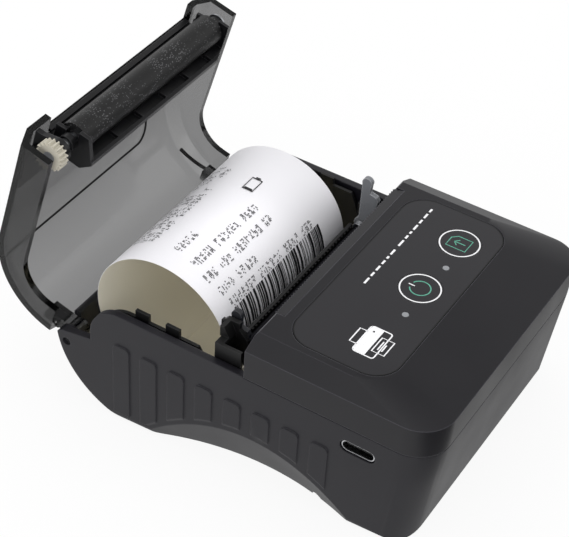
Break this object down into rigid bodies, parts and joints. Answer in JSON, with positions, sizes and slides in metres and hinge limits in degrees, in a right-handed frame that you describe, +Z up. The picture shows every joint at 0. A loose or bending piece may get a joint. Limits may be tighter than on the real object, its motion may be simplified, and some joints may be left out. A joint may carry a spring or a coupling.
{
  "type": "receipt printer",
  "caption": "Small battery receipt printer with a swing-up smoky lid, a paper coil in its bay, a rubber platen in the lid and two round keys on a sloping panel.",
  "frame": {"origin": "on the table, under the middle of the closed body", "axes": "+Z up, +X to the right of someone at the front, -Y towards the front, +Y towards the lid hinge"},
  "size_m": [0.0808, 0.1274, 0.0792],
  "materials": {
    "case_black": "fine satin texture",
    "panel_film": "satin film",
    "light_grey_plastic": "clear grey",
    "black_plastic": "satin",
    "aluminium": "brushed",
    "ceramic": "glazed",
    "spring_steel": "drawn wire",
    "motor_can": "plated",
    "screw_steel": "plated",
    "circuit_board": "solder mask",
    "chip_black": "moulded",
    "socket_steel": "bright plated",
    "battery_sleeve": "shrink sleeve",
    "thermal_paper": "smooth coated",
    "smoky_plastic": "smoky, lets some light through",
    "roller_rubber": "ground, dusty",
    "white_acetal": "satin",
    "latch_grey": "greasy satin",
    "latch_pale": "greasy satin",
    "brass": "turned"
  },
  "bodies": {
    "case": {"bottom_case": "case_black", "top_case": "case_black", "panel_sheet": "panel_film", "status_lights": "light_grey_plastic", "tear_bar": "black_plastic", "paper_tray": "black_plastic", "print_frame": "black_plastic", "head_heatsink": "aluminium", "head_ceramic": "ceramic", "head_springs": "spring_steel", "feed_motor": "motor_can", "motor_screws": "screw_steel", "latch_rod": "screw_steel", "latch_springs": "spring_steel", "axle_clips": "spring_steel", "frame_screws": "screw_steel", "main_board": "circuit_board", "board_parts": "chip_black", "board_screws": "screw_steel", "panel_board": "circuit_board", "key_switches": "motor_can", "panel_screws": "screw_steel", "usb_socket": "socket_steel", "usb_tongue": "chip_black", "battery": "battery_sleeve", "battery_door": "case_black", "door_screw": "screw_steel", "case_screws": "screw_steel", "hinge_pins": "screw_steel", "paper_coil": "thermal_paper"},
    "lid": {"lid_cover": "smoky_plastic", "roller_carrier": "black_plastic", "carrier_screws": "screw_steel", "platen_bushes": "black_plastic"},
    "platen": {"platen_shaft": "screw_steel", "platen_roller": "roller_rubber", "platen_gear": "white_acetal", "shaft_clip": "spring_steel"},
    "power_key": {"power_key": "panel_film"},
    "feed_key": {"feed_key": "panel_film"},
    "left_latch": {"left_latch": "latch_grey"},
    "right_latch": {"right_latch": "latch_pale"},
    "motor_pinion": {"motor_pinion": "brass"},
    "idler_gear": {"idler_gear": "white_acetal"},
    "drive_gear": {"drive_gear": "white_acetal"}
  },
  "joints": [
    {"name": "lid_hinge", "type": "hinge", "parent": "case", "child": "lid", "pos_m": [0, 0.05066, 0.02001], "axis": [1, 0, 0], "range_deg": [0, 74.6]},
    {"name": "platen_spin", "type": "hinge", "parent": "lid", "child": "platen", "pos_m": [0, 0.05316, 0.07445], "axis": [1, 0, 0], "continuous": true},
    {"name": "power_key_press", "type": "slide", "parent": "case", "child": "power_key", "axis": [0, 0.061, -0.9981], "range_m": [0, 0.0005], "stiffness_N_per_m": 2000},
    {"name": "feed_key_press", "type": "slide", "parent": "case", "child": "feed_key", "axis": [0, 0.061, -0.9981], "range_m": [0, 0.0005], "stiffness_N_per_m": 2000},
    {"name": "left_latch_release", "type": "hinge", "parent": "case", "child": "left_latch", "pos_m": [-0.029, 0.00641, 0.02772], "axis": [-1, 0, 0], "range_deg": [0, 6], "stiffness_Nm_per_rad": 0.05},
    {"name": "right_latch_release", "type": "hinge", "parent": "case", "child": "right_latch", "pos_m": [0.0337, 0.00641, 0.02772], "axis": [-1, 0, 0], "range_deg": [0, 6], "stiffness_Nm_per_rad": 0.05},
    {"name": "idler_spin", "type": "hinge", "parent": "case", "child": "idler_gear", "pos_m": [-0.034, -0.00815, 0.02279], "axis": [1, 0, 0], "continuous": true},
    {"name": "drive_spin", "type": "hinge", "parent": "case", "child": "drive_gear", "pos_m": [-0.034, 0.00009, 0.0262], "axis": [1, 0, 0], "continuous": true},
    {"name": "motor_spin", "type": "hinge", "parent": "case", "child": "motor_pinion", "pos_m": [-0.034, -0.01741, 0.02384], "axis": [1, 0, 0], "continuous": true}
  ],
  "couplings": [
    {"joint": "drive_spin", "follows": "idler_spin", "ratio": -0.46667},
    {"joint": "motor_spin", "follows": "idler_spin", "ratio": -2.8333}
  ]
}
